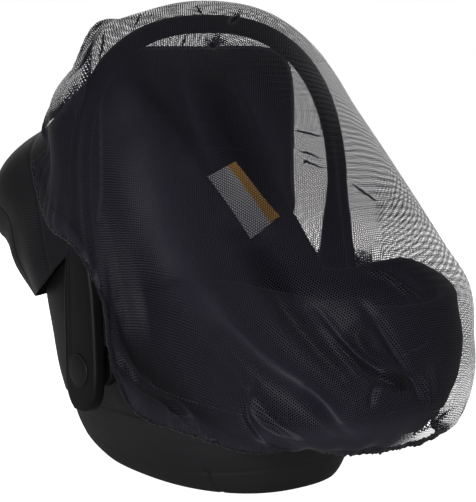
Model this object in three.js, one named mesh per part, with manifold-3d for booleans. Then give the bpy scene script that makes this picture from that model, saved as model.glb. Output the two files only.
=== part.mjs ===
// Infant carrier seat with a fitted mosquito net, in millimetres.
// +Z is up, -Y points to the foot end, +Y to the head end, and X runs across the seat.
// The origin lies on the flat sole of the base, a little in front of the handle's pivots.
// In the functions below f is the distance forward, towards the foot end, so y = -f.

import * as THREE from 'three';
import { mergeVertices } from 'three/addons/utils/BufferGeometryUtils.js';
import Module from 'manifold-3d';

// Driving sizes
const GAP = 0.3; // between rigid neighbours
const SHELL_WALL = 6;
const COVER_SKIRT = 3.5; // cloth on the outside of the shell
const COVER_PAD = 12; // padding inside the bucket
const ROLL_HEIGHT = 11; // padded roll over the rim
const CANOPY_THICK = 2;
const NET_THICK = 1.4;
const HEM_THICK = 3.6; // elastic casing, bunched
const HEM_WIDTH = 9;
const RING_STEPS = 56;

// Base
const BASE_HEIGHT = 86;
const BASE_LEVELS = [
  { z: 0, half: 116, foot: 138, head: 196, square: 2.35 },
  { z: 4, half: 121, foot: 143, head: 206, square: 2.35 },
  { z: 28, half: 137, foot: 152, head: 240, square: 2.35 },
  { z: 58, half: 148, foot: 162, head: 248, square: 2.4 },
  { z: BASE_HEIGHT, half: 152, foot: 172, head: 238, square: 2.4 },
];

// Outside of the shell, from its lower edge (t 0) to its rim (t 1)
const SHELL_LEVELS = [
  { t: 0, half: 155, foot: 312, head: 236, squareFoot: 1.9 },
  { t: 0.1, half: 162, foot: 326, head: 242, squareFoot: 1.98 },
  { t: 0.25, half: 168, foot: 337, head: 250, squareFoot: 2.1 },
  { t: 0.42, half: 172, foot: 344, head: 266, squareFoot: 2.24 },
  { t: 0.7, half: 171, foot: 347, head: 306, squareFoot: 2.35 },
  { t: 0.86, half: 168, foot: 343, head: 328, squareFoot: 2.35 },
  { t: 1, half: 166, foot: 338, head: 334, squareFoot: 2.35 },
];
const SHELL_CENTRE = -20;
const SQUARE_FOOT = 2.35;
const SQUARE_HEAD = 3.2;
const WING_WAIST = 0.9; // how far the head wings lean in at the rim, as a share of the width
const RIM_HEIGHTS = [
  { f: -345, z: 318 },
  { f: -300, z: 348 },
  { f: -230, z: 374 },
  { f: -160, z: 376 },
  { f: -110, z: 340 },
  { f: -63, z: 297 },
  { f: -36, z: 258 },
  { f: -5, z: 226 },
  { f: 50, z: 234 },
  { f: 110, z: 250 },
  { f: 170, z: 260 },
  { f: 235, z: 255 },
  { f: 345, z: 238 },
];
const EDGE_HEIGHTS = [
  { f: -400, z: BASE_HEIGHT + GAP },
  { f: 190, z: BASE_HEIGHT + GAP },
  { f: 250, z: 89 },
  { f: 300, z: 98 },
  { f: 345, z: 114 },
];
const SKIRT_HEIGHTS = [
  { f: -400, z: 300 },
  { f: -90, z: 262 },
  { f: -8, z: 200 },
  { f: 22, z: 162 },
  { f: 66, z: 136 },
  { f: 155, z: 120 },
  { f: 236, z: 114 },
  { f: 300, z: 120 },
  { f: 345, z: 134 },
];

// Handle: a leaning arch whose arms widen to plates at the pivots
const HANDLE = {
  outer: 214, top: 567, spring: 348, square: 2.45, thick: 23, plateThick: 20, pivotF: -24, pivotZ: 146,
};
const HANDLE_WIDTHS = [
  { z: 98, f: -24, width: 26 },
  { z: 106, f: -24, width: 46 },
  { z: 122, f: -24, width: 62 },
  { z: 146, f: -24, width: 67 },
  { z: 230, f: -26, width: 62 },
  { z: 290, f: -28, width: 44 },
  { z: 350, f: -28, width: 27 },
  { z: 420, f: -34, width: 25 },
  { z: 567, f: -48, width: 25 },
];
const BOSS_RADIUS = 24;

// Sheets hang as a fan of hoops. Each row gives half a hoop: its hem, its side and its crest.
// farDrop is how much lower the far hem hangs than the near one.
const HOOP_COLUMNS = ['hemX', 'hemF', 'hemZ', 'belly', 'sideX', 'sideF', 'sideZ', 'crestF', 'crestZ',
  'square', 'farDrop'];
const named = (columns, rows) => rows.map((row) => (
  Object.fromEntries(columns.map((column, k) => [column, row[k]]))));

const CANOPY_HOOPS = named(HOOP_COLUMNS, [
  [157, -62, 312, 0, 152, -61, 352, -60, 526, 7, 0],
  [167, -96, 284, 2, 162, -104, 350, -118, 498, 4.6, 0],
  [174, -134, 254, 2, 170, -160, 340, -203, 450, 3.4, 0],
  [172, -165, 228, 3, 173, -202, 330, -286, 414, 3, 0],
  [163, -198, 212, 4, 173, -234, 316, -338, 378, 2.9, 0],
  [152, -224, 204, 5, 168, -256, 298, -360, 334, 2.8, 0],
  [135, -243, 200, 4, 157, -270, 268, -350, 290, 2.7, 0],
  [115, -254, 199, 3, 138, -262, 232, -318, 244, 2.6, 0],
  [96, -260, 199, 0, 102, -266, 200, -292, 204, 2.5, 0],
]);
const CANOPY_GRID = { along: 13, across: 28 };

const NET_HOOPS = named(HOOP_COLUMNS, [
  [98, 256, 93, 0, 84, 276, 90, 308, 87, 2.1, -8],
  [122, 238, 88, 0, 120, 256, 98, 336, 105, 2.1, -6],
  [139, 218, 85, 2, 147, 228, 123, 353, 133, 2.05, -3],
  [149, 196, 86, 5, 165, 200, 166, 361, 172, 1.98, 0],
  [154, 170, 88, 9, 173, 156, 212, 363, 216, 2, 0],
  [155, 142, 89, 12, 178, 112, 250, 353, 266, 2.03, 0],
  [156, 112, 89, 13, 181, 84, 272, 306, 308, 2.1, 0],
  [155.8, 84, 90, 13.3, 187, 66, 290, 257, 350, 2.12, 0],
  [161, 52, 91, 12, 195, 54, 306, 166, 434, 2.06, 0],
  [182, 34, 116, 10, 205, 38, 323, 65, 512, 2.16, 0],
  [203, 32, 174, 5, 214, 22, 338, -8, 565, 2.34, 0],
  [213, 34, 237, 0, 219, 4, 350, -44, 584, 2.38, 14],
  [221, -10, 295, 0, 219, -40, 368, -88, 577, 2.7, 66],
  [213, -76, 311, 0, 207, -84, 382, -126, 554, 2.7, 86],
  [190, -136, 331, 0, 185, -122, 390, -166, 518, 2.5, 74],
  [180, -168, 361, 0, 175, -146, 400, -194, 488, 2.5, 54],
  [178, -178, 394, 0, 169, -150, 412, -212, 471, 2.45, 40],
]);
const NET_GRID = { along: 26, across: 40 };

// Slack of the net: soft swells and troughs on the taut fan, placed by hoop and by side
// (side -1 is the near hem, 0 the crest, 1 the far hem).
const NET_FOLDS = [
  { hoop: 12.7, side: -0.5, hoops: 1.1, sides: 0.1, out: 12 },
  { hoop: 12.9, side: -0.34, hoops: 1, sides: 0.07, out: -9 },
  { hoop: 12.5, side: -0.2, hoops: 1.2, sides: 0.1, out: 8 },
  { hoop: 12.9, side: 0.12, hoops: 1, sides: 0.08, out: -8 },
  { hoop: 12.6, side: 0.4, hoops: 1.1, sides: 0.12, out: 8 },
  { hoop: 6.5, side: -0.72, hoops: 0.7, sides: 0.08, out: 7 },
  { hoop: 5.4, side: -0.5, hoops: 1.6, sides: 0.07, out: 6 },
  { hoop: 3.2, side: 0.28, hoops: 0.8, sides: 0.1, out: 6 },
  { hoop: 2, side: 0.5, hoops: 0.9, sides: 0.12, out: 6 },
];

// A patch sewn to the far inner wing
const PATCH = {
  length: 120, width: 64, thick: 1, clear: -0.25, f: -144, z: 315, turn: THREE.MathUtils.degToRad(-36),
};

const wasm = await Module();
wasm.setup();

const smooth = (t) => t * t * (3 - 2 * t);
const mix = (a, b, t) => a + (b - a) * t;
const power = (v, p) => Math.sign(v) * Math.pow(Math.abs(v), p);

// Reads one column of a table at any place between its rows, without overshoot.
function columnAt(rows, key, column, at) {
  let i = 0;
  while (i < rows.length - 2 && at > rows[i + 1][key]) i += 1;
  const a = rows[i];
  const b = rows[i + 1];
  const t = THREE.MathUtils.clamp((at - a[key]) / (b[key] - a[key]), 0, 1);
  return mix(a[column], b[column], smooth(t) * 0.5 + t * 0.5);
}

// Catmull-Rom reading of a column by row number, for hoops that follow each other smoothly.
function rowAt(rows, column, at) {
  const last = rows.length - 1;
  const i = Math.min(last - 1, Math.max(0, Math.floor(at)));
  const t = at - i;
  const p = [i - 1, i, i + 1, i + 2].map((k) => rows[Math.min(last, Math.max(0, k))][column]);
  return 0.5 * (2 * p[1] + (p[2] - p[0]) * t + (2 * p[0] - 5 * p[1] + 4 * p[2] - p[3]) * t * t
    + (3 * p[1] - p[0] - 3 * p[2] + p[3]) * t * t * t);
}

// A closed solid from rings of points. The first and last rings are closed by a fan or meet each other.
function ringSolid(rings, loop) {
  const steps = rings[0].length;
  const points = rings.flat();
  const index = [];
  const count = loop ? rings.length : rings.length - 1;
  for (let r = 0; r < count; r += 1) {
    const next = (r + 1) % rings.length;
    for (let k = 0; k < steps; k += 1) {
      const a = r * steps + k;
      const b = r * steps + ((k + 1) % steps);
      const c = next * steps + ((k + 1) % steps);
      const d = next * steps + k;
      index.push(a, b, c, a, c, d);
    }
  }
  if (!loop) {
    [[0, true], [rings.length - 1, false]].forEach(([r, flip]) => {
      const centre = rings[r].reduce((sum, p) => sum.add(p), new THREE.Vector3()).divideScalar(steps);
      const hub = points.push(centre) - 1;
      for (let k = 0; k < steps; k += 1) {
        const a = r * steps + k;
        const b = r * steps + ((k + 1) % steps);
        index.push(...(flip ? [hub, b, a] : [hub, a, b]));
      }
    });
  }
  return closedGeometry(points, index);
}

// Turns points and faces into a geometry whose faces point outwards.
function closedGeometry(points, index) {
  let volume = 0;
  for (let i = 0; i < index.length; i += 3) {
    const [a, b, c] = [points[index[i]], points[index[i + 1]], points[index[i + 2]]];
    volume += a.dot(new THREE.Vector3().crossVectors(b, c));
  }
  const order = volume > 0 ? index : index.slice().reverse();
  const geometry = new THREE.BufferGeometry();
  geometry.setAttribute('position', new THREE.Float32BufferAttribute(points.flatMap((p) => p.toArray()), 3));
  geometry.setIndex(order);
  return mergeVertices(geometry, 1e-4);
}

function toSolid(geometry) {
  return new wasm.Manifold(new wasm.Mesh({
    numProp: 3,
    vertProperties: geometry.attributes.position.array,
    triVerts: new Uint32Array(geometry.index.array),
  }));
}

// Cuts one closed geometry out of another and keeps the largest piece.
function cut(geometry, tool) {
  const pieces = toSolid(geometry).subtract(toSolid(tool)).decompose();
  pieces.sort((a, b) => b.volume() - a.volume());
  const mesh = pieces[0].getMesh();
  const result = new THREE.BufferGeometry();
  result.setAttribute('position', new THREE.BufferAttribute(mesh.vertProperties, mesh.numProp));
  result.setIndex(new THREE.BufferAttribute(mesh.triVerts, 1));
  return mergeVertices(result, 1e-3);
}

// A plan ring: a squared oval with its own reach at the foot and at the head.
function planPoint(angle, half, foot, head, centre, squareFoot, squareHead) {
  const c = Math.cos(angle);
  const s = Math.sin(angle);
  const square = s > 0 ? squareFoot : squareHead;
  const reach = s > 0 ? foot - centre : head + centre;
  return { x: half * power(c, 2 / square), f: centre + reach * power(s, 2 / square) };
}

// A point on the shell's wall at height share t, moved outwards by out.
function wallPoint(angle, t, out, lift = 0) {
  const half = columnAt(SHELL_LEVELS, 't', 'half', t) + out;
  const foot = columnAt(SHELL_LEVELS, 't', 'foot', t) + out;
  const head = columnAt(SHELL_LEVELS, 't', 'head', t) + out;
  const squareFoot = columnAt(SHELL_LEVELS, 't', 'squareFoot', t);
  const { x, f } = planPoint(angle, half, foot, head, SHELL_CENTRE, squareFoot, SQUARE_HEAD);
  const lean = mix(1, WING_WAIST, smooth(THREE.MathUtils.clamp((-10 - f) / 90, 0, 1)) * t * t);
  const low = columnAt(EDGE_HEIGHTS, 'f', 'z', f);
  const high = columnAt(RIM_HEIGHTS, 'f', 'z', f);
  return new THREE.Vector3(x * lean, -f, mix(low, high, t) + lift);
}

function wallRing(t, out, lift = 0) {
  const at = typeof t === 'function' ? t : () => t;
  return Array.from({ length: RING_STEPS }, (_, k) => {
    const angle = (2 * Math.PI * k) / RING_STEPS;
    return wallPoint(angle, at(angle), out, lift);
  });
}

// A ring on the floor or the underside, drawn in towards the middle.
function floorRing(share, out, lift) {
  const centre = new THREE.Vector3(0, -SHELL_CENTRE, 0);
  return wallRing(0, out, lift).map((p) => {
    const q = p.clone().lerp(centre, 1 - share);
    q.z = mix(BASE_HEIGHT + GAP + lift, p.z, share * share);
    return q;
  });
}

function makeBase() {
  const rings = BASE_LEVELS.map((level) => Array.from({ length: RING_STEPS }, (_, k) => {
    const angle = (2 * Math.PI * k) / RING_STEPS;
    const { x, f } = planPoint(angle, level.half, level.foot, level.head, SHELL_CENTRE,
      level.square, level.square);
    return new THREE.Vector3(x, -f, level.z);
  }));
  return ringSolid(rings, false);
}

// The bucket. With room it is made that much fatter all over, to cut its neighbours clear of it.
function makeShell(room = 0) {
  const heights = SHELL_LEVELS.map((level) => level.t);
  const inner = heights.slice().reverse().filter((t) => t !== 0.1);
  const lift = (t) => (t === 1 ? room : 0) - (t === 0 ? room : 0);
  const rings = [floorRing(0.5, room, -room), ...heights.map((t) => wallRing(t, room, lift(t)))];
  rings.push(...inner.map((t) => (
    wallRing(t, -SHELL_WALL - room, t === 0 ? SHELL_WALL + room : lift(t)))));
  rings.push(floorRing(0.5, -SHELL_WALL - room, SHELL_WALL + room));
  return ringSolid(rings, false);
}

// The share of the wall's height where the cloth skirt ends.
function skirtEnd(angle) {
  const { f } = planPoint(angle, 170, 340, 330, SHELL_CENTRE, SQUARE_FOOT, SQUARE_HEAD);
  const low = columnAt(EDGE_HEIGHTS, 'f', 'z', f);
  const high = columnAt(RIM_HEIGHTS, 'f', 'z', f);
  return (columnAt(SKIRT_HEIGHTS, 'f', 'z', f) - low) / (high - low);
}

function makeCover() {
  const inner = -SHELL_WALL / 2;
  const padded = -SHELL_WALL - COVER_PAD;
  const outer = COVER_SKIRT + GAP;
  const between = (share) => (angle) => mix(skirtEnd(angle), 1, share);
  const rings = [
    floorRing(0.5, inner, SHELL_WALL / 2), wallRing(0, inner, SHELL_WALL / 2),
    ...[0.1, 0.25, 0.42, 0.7, 0.86].map((t) => wallRing(t, inner)),
    ...[0.7, 0.35, 0].map((share) => wallRing(between(share), inner)),
    ...[0, 0.17, 0.35, 0.7, 1].map((share) => wallRing(between(share), outer)),
    wallRing(1, outer - 1, ROLL_HEIGHT * 0.7), wallRing(1, -3, ROLL_HEIGHT),
    wallRing(1, -12, ROLL_HEIGHT * 0.85), wallRing(1, padded, 0),
    ...[0.8, 0.5, 0.25].map((t) => wallRing(t, padded)),
    wallRing(0, padded - 8, SHELL_WALL + COVER_PAD),
    floorRing(0.5, padded, SHELL_WALL + COVER_PAD),
  ];
  return cut(ringSolid(rings, false), makeShell(2 * GAP));
}

// The arch line of the handle as a share of its length: place, outward direction and height.
function handleLine(steps) {
  const middle = HANDLE.outer - HANDLE.thick / 2;
  const rise = HANDLE.top - HANDLE.thick / 2 - HANDLE.spring;
  const line = [];
  const arm = HANDLE_WIDTHS.filter((row) => row.z < HANDLE.spring).map((row) => row.z);
  arm.forEach((z) => line.push(new THREE.Vector2(-middle, z)));
  for (let k = 0; k <= steps; k += 1) {
    const angle = Math.PI * (1 - k / steps);
    line.push(new THREE.Vector2(middle * power(Math.cos(angle), 2 / HANDLE.square),
      HANDLE.spring + rise * power(Math.sin(angle), 2 / HANDLE.square)));
  }
  arm.slice().reverse().forEach((z) => line.push(new THREE.Vector2(middle, z)));
  return line;
}

function makeHandle() {
  const around = 10;
  const line = handleLine(28);
  const rings = line.map((p, i) => {
    const before = line[Math.max(0, i - 1)];
    const after = line[Math.min(line.length - 1, i + 1)];
    const run = after.clone().sub(before).normalize();
    const out = new THREE.Vector2(-run.y, run.x);
    const width = columnAt(HANDLE_WIDTHS, 'z', 'width', p.y);
    const plate = THREE.MathUtils.clamp((HANDLE.spring - p.y) / 90, 0, 1);
    const thick = mix(HANDLE.thick, HANDLE.plateThick, plate);
    const square = mix(2.2, 4, plate);
    const f = columnAt(HANDLE_WIDTHS, 'z', 'f', p.y);
    return Array.from({ length: around }, (_, k) => {
      const angle = (2 * Math.PI * (k + 0.5)) / around;
      const across = (thick / 2) * power(Math.cos(angle), 2 / square);
      const along = (width / 2) * power(Math.sin(angle), 2 / square);
      return new THREE.Vector3(p.x + out.x * across, -(f + along), p.y + out.y * across);
    });
  });
  return ringSolid(rings, false);
}

function makeBoss() {
  const from = 172.2;
  const to = HANDLE.outer - HANDLE.thick / 2 - HANDLE.plateThick / 2;
  const geometry = new THREE.CylinderGeometry(BOSS_RADIUS, BOSS_RADIUS, to - from, 24);
  geometry.rotateZ(Math.PI / 2);
  geometry.translate((from + to) / 2, 0, 0);
  geometry.deleteAttribute('normal');
  geometry.deleteAttribute('uv');
  return mergeVertices(geometry, 1e-4);
}

// One whole hoop of a sheet, from the near hem over the crest to the far hem, evenly spaced.
function hoopPoints(rows, at, across) {
  const get = (column) => rowAt(rows, column, at);
  const [sideX, sideF, sideZ] = [get('sideX'), get('sideF'), get('sideZ')];
  const square = get('square');
  const hem = new THREE.Vector3(get('hemX'), -get('hemF'), get('hemZ'));
  const side = new THREE.Vector3(sideX, -sideF, sideZ);
  const fromHem = (drop) => {
    const end = hem.clone().setZ(hem.z - drop);
    const belly = end.clone().lerp(side, 0.5);
    belly.x += get('belly');
    return [end, belly];
  };
  const half = [side];
  [22, 45, 68, 90].forEach((degrees) => {
    const angle = THREE.MathUtils.degToRad(degrees);
    const up = power(Math.sin(angle), 2 / square);
    half.push(new THREE.Vector3(sideX * power(Math.cos(angle), 2 / square) * (degrees === 90 ? 0 : 1),
      -mix(sideF, get('crestF'), up), mix(sideZ, get('crestZ'), up)));
  });
  const near = [...fromHem(0), ...half].map((p) => new THREE.Vector3(-p.x, p.y, p.z));
  const line = [...near, ...half.slice(0, -1).reverse(), ...fromHem(get('farDrop')).reverse()];
  return new THREE.CatmullRomCurve3(line, false, 'centripetal').getSpacedPoints(across);
}

function foldAt(folds, hoop, side) {
  return folds.reduce((sum, fold) => {
    const a = (hoop - fold.hoop) / fold.hoops;
    const b = (side - fold.side) / fold.sides;
    return sum + fold.out * Math.exp(-a * a - b * b);
  }, 0);
}

// Gives a grid of points its thickness. thickAt says how thick the sheet is at each place.
function sheetSolid(grid, thickAt, moveAt) {
  const rows = grid.length;
  const columns = grid[0].length;
  const at = (i, j) => grid[THREE.MathUtils.clamp(i, 0, rows - 1)][THREE.MathUtils.clamp(j, 0, columns - 1)];
  const outward = (i, j) => {
    const a = at(i + 1, j).clone().sub(at(i - 1, j));
    const b = at(i, j + 1).clone().sub(at(i, j - 1));
    return a.cross(b).normalize();
  };
  const outside = [];
  const inside = [];
  grid.forEach((row, i) => row.forEach((p, j) => {
    const n = outward(i, j);
    const middle = p.clone().addScaledVector(n, moveAt(i, j));
    outside.push(middle.clone().addScaledVector(n, thickAt(i, j) / 2));
    inside.push(middle.clone().addScaledVector(n, -thickAt(i, j) / 2));
  }));
  const points = [...outside, ...inside];
  const far = outside.length;
  const index = [];
  const quad = (a, b, c, d) => index.push(a, b, c, a, c, d);
  for (let i = 0; i < rows - 1; i += 1) {
    for (let j = 0; j < columns - 1; j += 1) {
      const a = i * columns + j;
      quad(a, a + columns, a + columns + 1, a + 1);
      quad(far + a, far + a + 1, far + a + columns + 1, far + a + columns);
    }
  }
  const edge = [];
  for (let j = 0; j < columns - 1; j += 1) edge.push(j);
  for (let i = 0; i < rows - 1; i += 1) edge.push(i * columns + columns - 1);
  for (let j = columns - 1; j > 0; j -= 1) edge.push((rows - 1) * columns + j);
  for (let i = rows - 1; i > 0; i -= 1) edge.push(i * columns);
  edge.forEach((a, k) => {
    const b = edge[(k + 1) % edge.length];
    quad(a, b, far + b, far + a);
  });
  return closedGeometry(points, index);
}

function makeCanopy() {
  const last = CANOPY_HOOPS.length - 1;
  const grid = Array.from({ length: CANOPY_GRID.along + 1 }, (_, i) => (
    hoopPoints(CANOPY_HOOPS, (last * i) / CANOPY_GRID.along, CANOPY_GRID.across)));
  return sheetSolid(grid, () => CANOPY_THICK, () => 0);
}

// Places along a run of length 1 with a narrow band at each end for the hem.
function withHemBands(steps, band) {
  const inner = steps - 2;
  return Array.from({ length: steps + 1 }, (_, i) => {
    if (i === 0) return 0;
    if (i === steps) return 1;
    return band + ((1 - 2 * band) * (i - 1)) / inner;
  });
}

function makeNet() {
  const last = NET_HOOPS.length - 1;
  const alongHem = 0.011;
  const fine = 400;
  const rows = withHemBands(NET_GRID.along, alongHem);
  const grid = rows.map((share) => {
    const hoop = hoopPoints(NET_HOOPS, last * share, fine);
    const length = hoop.reduce((sum, p, k) => sum + (k ? p.distanceTo(hoop[k - 1]) : 0), 0);
    return withHemBands(NET_GRID.across, HEM_WIDTH / length).map((c) => hoop[Math.round(c * fine)]);
  });
  const isHem = (i, j) => i === 0 || j === 0 || i === NET_GRID.along || j === NET_GRID.across;
  return sheetSolid(grid, (i, j) => (isHem(i, j) ? HEM_THICK : NET_THICK), (i, j) => (
    isHem(i, j) ? 0 : foldAt(NET_FOLDS, last * rows[i], (2 * j) / NET_GRID.across - 1)));
}

// The patch lies on the padded far wall, which is found from inside with rays.
function makePatch(cover) {
  const wall = new THREE.Mesh(cover);
  const steps = { along: 10, across: 6 };
  const turned = (a, b) => new THREE.Vector3(0,
    -(PATCH.f + a * Math.cos(PATCH.turn) - b * Math.sin(PATCH.turn)),
    PATCH.z + a * Math.sin(PATCH.turn) + b * Math.cos(PATCH.turn));
  const wallX = (a, b) => {
    const hits = new THREE.Raycaster(turned(a, b), new THREE.Vector3(1, 0, 0)).intersectObject(wall);
    return hits.length ? hits[0].point.x : Infinity;
  };
  const near = [-5, 0, 5];
  const grid = Array.from({ length: steps.along + 1 }, (_, i) => (
    Array.from({ length: steps.across + 1 }, (_unused, j) => {
      const a = (i / steps.along - 0.5) * PATCH.length;
      const b = (j / steps.across - 0.5) * PATCH.width;
      const nearest = Math.min(...near.flatMap((da) => near.map((db) => wallX(a + da, b + db))));
      const point = turned(a, b);
      point.x = nearest - PATCH.thick / 2 - PATCH.clear;
      return point;
    })));
  return sheetSolid(grid, () => PATCH.thick, () => 0);
}

const plastic = new THREE.MeshStandardMaterial({ color: 0x2b2b2e, roughness: 0.55, metalness: 0 });
const gloss = new THREE.MeshStandardMaterial({ color: 0x151517, roughness: 0.3, metalness: 0 });
const cloth = new THREE.MeshStandardMaterial({ color: 0x1b1b22, roughness: 0.9, metalness: 0 });
const netting = new THREE.MeshStandardMaterial({ color: 0x121216, roughness: 0.8, metalness: 0 });
const patchCloth = new THREE.MeshStandardMaterial({ color: 0xd8d9da, roughness: 0.8, metalness: 0 });

const seat = new THREE.Group();

function place(name, geometry, material, x = 0, y = 0, z = 0) {
  const mesh = new THREE.Mesh(geometry, material);
  mesh.name = name;
  mesh.position.set(x, y, z);
  seat.add(mesh);
  return mesh;
}

place('base', makeBase(), plastic);
place('shell', makeShell(), gloss);
const cover = makeCover();
place('seat_cover', cover, cloth);
place('handle', makeHandle(), gloss);
place('pivot_boss_far', makeBoss(), gloss, 0, -HANDLE.pivotF, HANDLE.pivotZ);
place('pivot_boss_near', makeBoss().rotateZ(Math.PI), gloss, 0, -HANDLE.pivotF, HANDLE.pivotZ);
place('canopy', makeCanopy(), cloth);
place('net', makeNet(), netting);
place('patch', makePatch(cover), patchCloth);

export default seat;
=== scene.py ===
"""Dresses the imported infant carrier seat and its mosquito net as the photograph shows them.

Lengths in the tables are millimetres, as in the part's own source, and f is the distance towards
the foot end (y = -f). mm() turns them to Blender's metres.
"""
import math

import bmesh
import bpy
import numpy as np
from mathutils import Matrix, Vector


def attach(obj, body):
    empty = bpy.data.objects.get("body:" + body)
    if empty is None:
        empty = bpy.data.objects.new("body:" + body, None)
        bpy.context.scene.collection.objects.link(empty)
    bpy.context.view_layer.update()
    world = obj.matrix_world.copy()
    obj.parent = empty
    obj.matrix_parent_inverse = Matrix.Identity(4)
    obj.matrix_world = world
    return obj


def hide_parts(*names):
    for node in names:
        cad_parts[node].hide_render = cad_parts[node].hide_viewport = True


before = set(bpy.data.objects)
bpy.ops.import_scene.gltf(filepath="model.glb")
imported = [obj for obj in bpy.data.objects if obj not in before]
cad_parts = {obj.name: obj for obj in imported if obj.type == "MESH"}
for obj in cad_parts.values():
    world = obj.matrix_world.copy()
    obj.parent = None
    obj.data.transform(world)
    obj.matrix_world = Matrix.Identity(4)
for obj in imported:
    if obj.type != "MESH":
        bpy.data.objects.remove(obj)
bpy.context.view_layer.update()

# tables of the part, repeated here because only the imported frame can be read

BASE_HEIGHT = 86.0
BASE_LEVELS = {
    "z": [0, 4, 28, 58, 86],
    "half": [116, 121, 137, 148, 152],
    "foot": [138, 143, 152, 162, 172],
    "head": [196, 206, 240, 248, 238],
    "square": [2.35, 2.35, 2.35, 2.4, 2.4],
}
SHELL_LEVELS = {
    "t": [0, 0.1, 0.25, 0.42, 0.7, 0.86, 1],
    "half": [155, 162, 168, 172, 171, 168, 166],
    "foot": [312, 326, 337, 344, 347, 343, 338],
    "head": [236, 242, 250, 266, 306, 328, 334],
    "square_foot": [1.9, 1.98, 2.1, 2.24, 2.35, 2.35, 2.35],
}
SHELL_CENTRE, SQUARE_FOOT, SQUARE_HEAD, WING_WAIST = -20.0, 2.35, 3.2, 0.9
SHELL_WALL, COVER_SKIRT, COVER_PAD, ROLL_HEIGHT = 6.0, 3.5, 12.0, 11.0
RIM_HEIGHTS = {
    "f": [-345, -300, -230, -160, -110, -63, -36, -5, 50, 110, 170, 235, 345],
    "z": [318, 348, 374, 376, 340, 297, 258, 226, 234, 250, 260, 255, 238],
}
EDGE_HEIGHTS = {"f": [-400, 190, 250, 300, 345], "z": [86.3, 86.3, 89, 98, 114]}
SKIRT_HEIGHTS = {
    "f": [-400, -90, -8, 22, 66, 155, 236, 300, 345],
    "z": [300, 262, 200, 162, 136, 120, 114, 120, 134],
}
HANDLE_OUTER, HANDLE_TOP, HANDLE_SPRING, HANDLE_SQUARE = 214.0, 567.0, 348.0, 2.45
HANDLE_THICK, PLATE_THICK, PIVOT_F, PIVOT_Z = 23.0, 20.0, -24.0, 146.0
# how far out the pivots' round bosses start, just inside the shell's outer face
BOSS_START = 172.2
HANDLE_WIDTHS = {
    "z": [98, 106, 122, 146, 230, 290, 350, 420, 567],
    "f": [-24, -24, -24, -24, -26, -28, -28, -34, -48],
    "width": [26, 46, 62, 67, 62, 44, 27, 25, 25],
}
# columns: hemX, hemF, hemZ, belly, sideX, sideF, sideZ, crestF, crestZ, square, farDrop
HOOD_HOOPS = [
    (157, -62, 312, 0, 152, -61, 352, -60, 526, 7, 0),
    (167, -96, 284, 2, 162, -104, 350, -118, 498, 4.6, 0),
    (174, -134, 254, 2, 170, -160, 340, -203, 450, 3.4, 0),
    (172, -165, 228, 3, 173, -202, 330, -286, 414, 3, 0),
    (163, -198, 212, 4, 173, -234, 316, -338, 378, 2.9, 0),
    (152, -224, 204, 5, 168, -256, 298, -360, 334, 2.8, 0),
    (135, -243, 200, 4, 157, -270, 268, -350, 290, 2.7, 0),
    (115, -254, 199, 3, 138, -262, 232, -318, 244, 2.6, 0),
    (96, -260, 199, 0, 102, -266, 200, -292, 204, 2.5, 0),
]
# the same columns. The last two hoops lie lower than the part's, close on the hood.
NET_HOOPS = [
    (98, 256, 93, 0, 84, 276, 90, 308, 87, 2.1, -8),
    (122, 238, 88, 0, 120, 256, 98, 336, 105, 2.1, -6),
    (139, 218, 85, 2, 147, 228, 123, 353, 133, 2.05, -3),
    (149, 196, 86, 5, 165, 200, 166, 361, 172, 1.98, 0),
    (154, 170, 88, 9, 173, 156, 212, 363, 216, 2, 0),
    (155, 142, 89, 12, 178, 112, 250, 353, 266, 2.03, 0),
    (156, 112, 89, 13, 181, 84, 272, 306, 308, 2.1, 0),
    (155.8, 84, 90, 13.3, 187, 66, 290, 257, 350, 2.12, 0),
    (161, 52, 91, 12, 195, 54, 306, 166, 434, 2.06, 0),
    (182, 34, 116, 10, 205, 38, 323, 65, 512, 2.16, 0),
    (203, 32, 174, 5, 214, 22, 338, -8, 565, 2.34, 0),
    (213, 34, 237, 0, 219, 4, 350, -44, 584, 2.38, 14),
    (221, -10, 295, 0, 219, -40, 368, -88, 577, 2.7, 66),
    (213, -76, 311, 0, 207, -84, 382, -126, 554, 2.7, 86),
    (190, -136, 331, 0, 185, -122, 390, -166, 518, 2.5, 74),
    (180, -168, 361, 0, 175, -146, 400, -194, 485, 2.5, 54),
    (178, -180, 380, 0, 169, -154, 400, -214, 455, 2.45, 40),
]
# mm from one hoop to the next along the crest, and from the crest to a hem, both roughly
HOOP_RUN, SIDE_RUN = 70, 550
# broad swells and hollows: hoop, side, reach in hoops, reach in sides, height out
NET_SWELLS = [
    (12.7, -0.5, 1.1, 0.1, 12), (12.9, -0.34, 1, 0.07, -9), (12.5, -0.2, 1.2, 0.1, 8),
    (12.9, 0.12, 1, 0.08, -8), (12.6, 0.4, 1.1, 0.12, 8), (6.5, -0.72, 0.7, 0.08, 7),
    (5.4, -0.5, 1.6, 0.07, 6), (3.2, 0.28, 0.8, 0.1, 6), (2, 0.5, 0.9, 0.12, 6),
]
# the patch's corners on the far wing, in order round it, and its flat size and thickness
PATCH_CORNERS = {"f": [-210, -154, -66, -136], "z": [346, 370, 302, 264]}
PATCH_LENGTH, PATCH_WIDTH, PATCH_THICK = 116.0, 72.0, 0.7
# the amber band covers this share of the patch's width
PATCH_BAND = 0.22

# points along the crest and across it
HOOD_GRID = (150, 240)
NET_GRID = (280, 340)
HOOD_THICK = 1.6
# where the hood's bows lie, in hoops, and the liner's sewn channels, as shares of its height
HOOD_BOWS = (0.0, 2.35, 4.7)
LINER_CHANNELS = (0.62, 0.38)

# the camera fitted to the photograph: degrees, then metres, and the lens in mm
CAMERA_TURN, CAMERA_TILT = -38.25, 7.9
CAMERA_DISTANCE, CAMERA_SHIFT, CAMERA_AIM = 1.97842, 0.00912, 0.27405
CAMERA_LENS, CAMERA_SENSOR = 113.35, 36.0
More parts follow.
